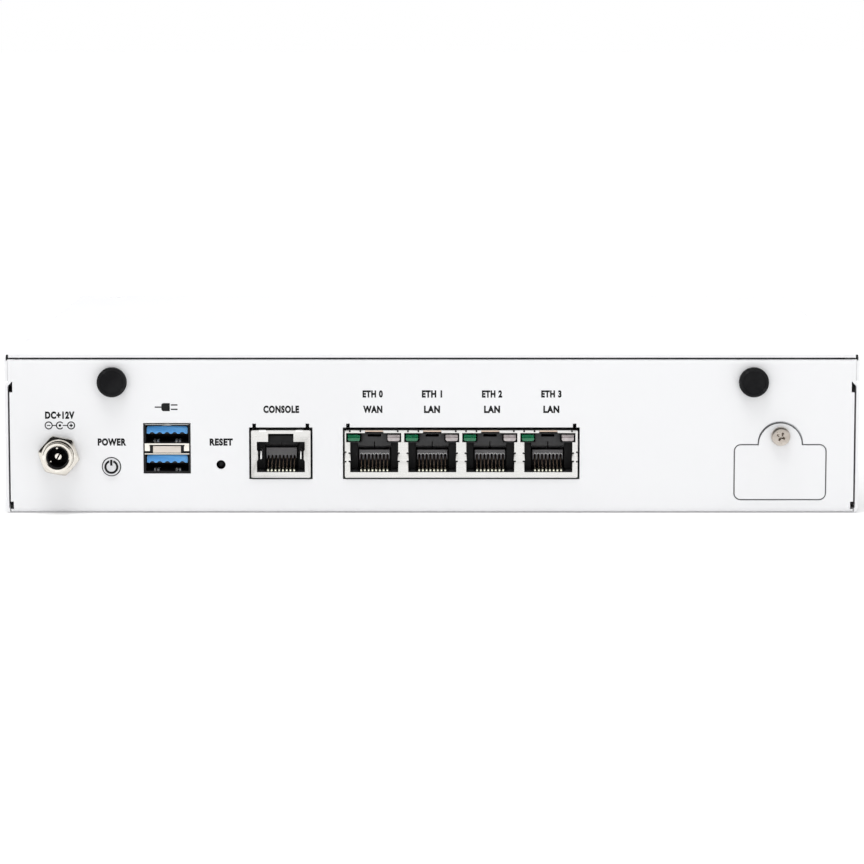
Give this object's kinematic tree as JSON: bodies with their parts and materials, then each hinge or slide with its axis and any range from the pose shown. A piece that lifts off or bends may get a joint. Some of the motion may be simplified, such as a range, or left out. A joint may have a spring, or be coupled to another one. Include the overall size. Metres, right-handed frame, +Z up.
{
  "type": "firewall appliance",
  "caption": "Flat white desktop network box: sheet-metal tray and lift-off cover, with a rear panel of network, console, data and power sockets, a service hatch and plugged antenna holes.",
  "frame": {"origin": "centre of the underside of the case, on the surface that it stands on", "axes": "+Z up, -Y out of the port panel, +X to the right as one faces the port panel"},
  "size_m": [0.232, 0.2055, 0.0432],
  "materials": {
    "white_powder_coat": "fine-textured white powder coat on sheet steel",
    "black_rubber": "matt moulded rubber",
    "bright_nickel": "bright nickel plating on turned brass",
    "warm_nickel": "nickel plating, slightly warm, worn in the recess",
    "tinned_steel": "satin tin plating on stamped sheet",
    "zinc_steel": "satin zinc plating",
    "blue_plastic": "moulded blue plastic",
    "black_plastic": "moulded black plastic",
    "grey_plastic": "moulded light grey plastic",
    "green_lens": "tinted translucent plastic",
    "clear_lens": "frosted translucent plastic",
    "green_board": "solder mask on glass-fibre laminate",
    "chip_black": "moulded chip package",
    "brushed_aluminium": "extruded, lightly brushed",
    "brass": "turned brass",
    "red_insulation": "wire insulation"
  },
  "bodies": {
    "chassis": {"base_tray": "white_powder_coat", "board_screw_1": "zinc_steel", "board_screw_2": "zinc_steel", "board_screw_3": "zinc_steel", "board_screw_4": "zinc_steel", "board_standoff_1": "brass", "board_standoff_2": "brass", "board_standoff_3": "brass", "board_standoff_4": "brass", "card_reader": "tinned_steel", "coin_cell": "tinned_steel", "coin_cell_holder": "black_plastic", "console_shield": "tinned_steel", "console_socket": "black_plastic", "dc_header": "grey_plastic", "dc_jack_body": "bright_nickel", "dc_jack_nut": "bright_nickel", "dc_jack_pin": "bright_nickel", "dc_lead_negative": "black_plastic", "dc_lead_positive": "red_insulation", "front_light_guide": "clear_lens", "heatsink": "brushed_aluminium", "lan_lamp_clear_1": "clear_lens", "lan_lamp_clear_2": "clear_lens", "lan_lamp_clear_3": "clear_lens", "lan_lamp_clear_4": "clear_lens", "lan_lamp_green_1": "green_lens", "lan_lamp_green_2": "green_lens", "lan_lamp_green_3": "green_lens", "lan_lamp_green_4": "green_lens", "lan_shield": "tinned_steel", "lan_socket_1": "black_plastic", "lan_socket_2": "black_plastic", "lan_socket_3": "black_plastic", "lan_socket_4": "black_plastic", "main_board": "green_board", "memory_module": "green_board", "memory_socket": "black_plastic", "power_switch": "black_plastic", "processor": "chip_black", "reset_switch": "black_plastic", "service_bracket": "zinc_steel", "ssd_module": "green_board", "ssd_socket": "black_plastic", "usb_shell": "tinned_steel", "usb_tongue_lower": "blue_plastic", "usb_tongue_upper": "blue_plastic"},
    "cover": {"top_cover": "white_powder_coat", "cover_screw_1": "white_powder_coat", "cover_screw_2": "white_powder_coat", "cover_screw_3": "white_powder_coat", "cover_screw_4": "white_powder_coat"},
    "hatch": {"service_cover": "white_powder_coat", "service_cover_screw": "warm_nickel"},
    "power_key": {"power_button": "grey_plastic"},
    "reset_key": {"reset_button": "black_plastic"},
    "left_plug": {"antenna_plug_left": "black_rubber"},
    "right_plug": {"antenna_plug_right": "black_rubber"}
  },
  "joints": [
    {"name": "cover_lift", "type": "slide", "parent": "chassis", "child": "cover", "axis": [0, 0, 1], "range_m": [0, 0.06]},
    {"name": "hatch_pull", "type": "slide", "parent": "chassis", "child": "hatch", "axis": [0, -1, 0], "range_m": [0, 0.03]},
    {"name": "power_press", "type": "slide", "parent": "chassis", "child": "power_key", "axis": [0, 1, 0], "range_m": [0, 0.0008], "stiffness_N_per_m": 1500},
    {"name": "reset_press", "type": "slide", "parent": "chassis", "child": "reset_key", "axis": [0, 1, 0], "range_m": [0, 0.0004], "stiffness_N_per_m": 2000},
    {"name": "left_plug_pull", "type": "slide", "parent": "chassis", "child": "left_plug", "axis": [0, -1, 0], "range_m": [0, 0.012]},
    {"name": "right_plug_pull", "type": "slide", "parent": "chassis", "child": "right_plug", "axis": [0, -1, 0], "range_m": [0, 0.012]}
  ]
}
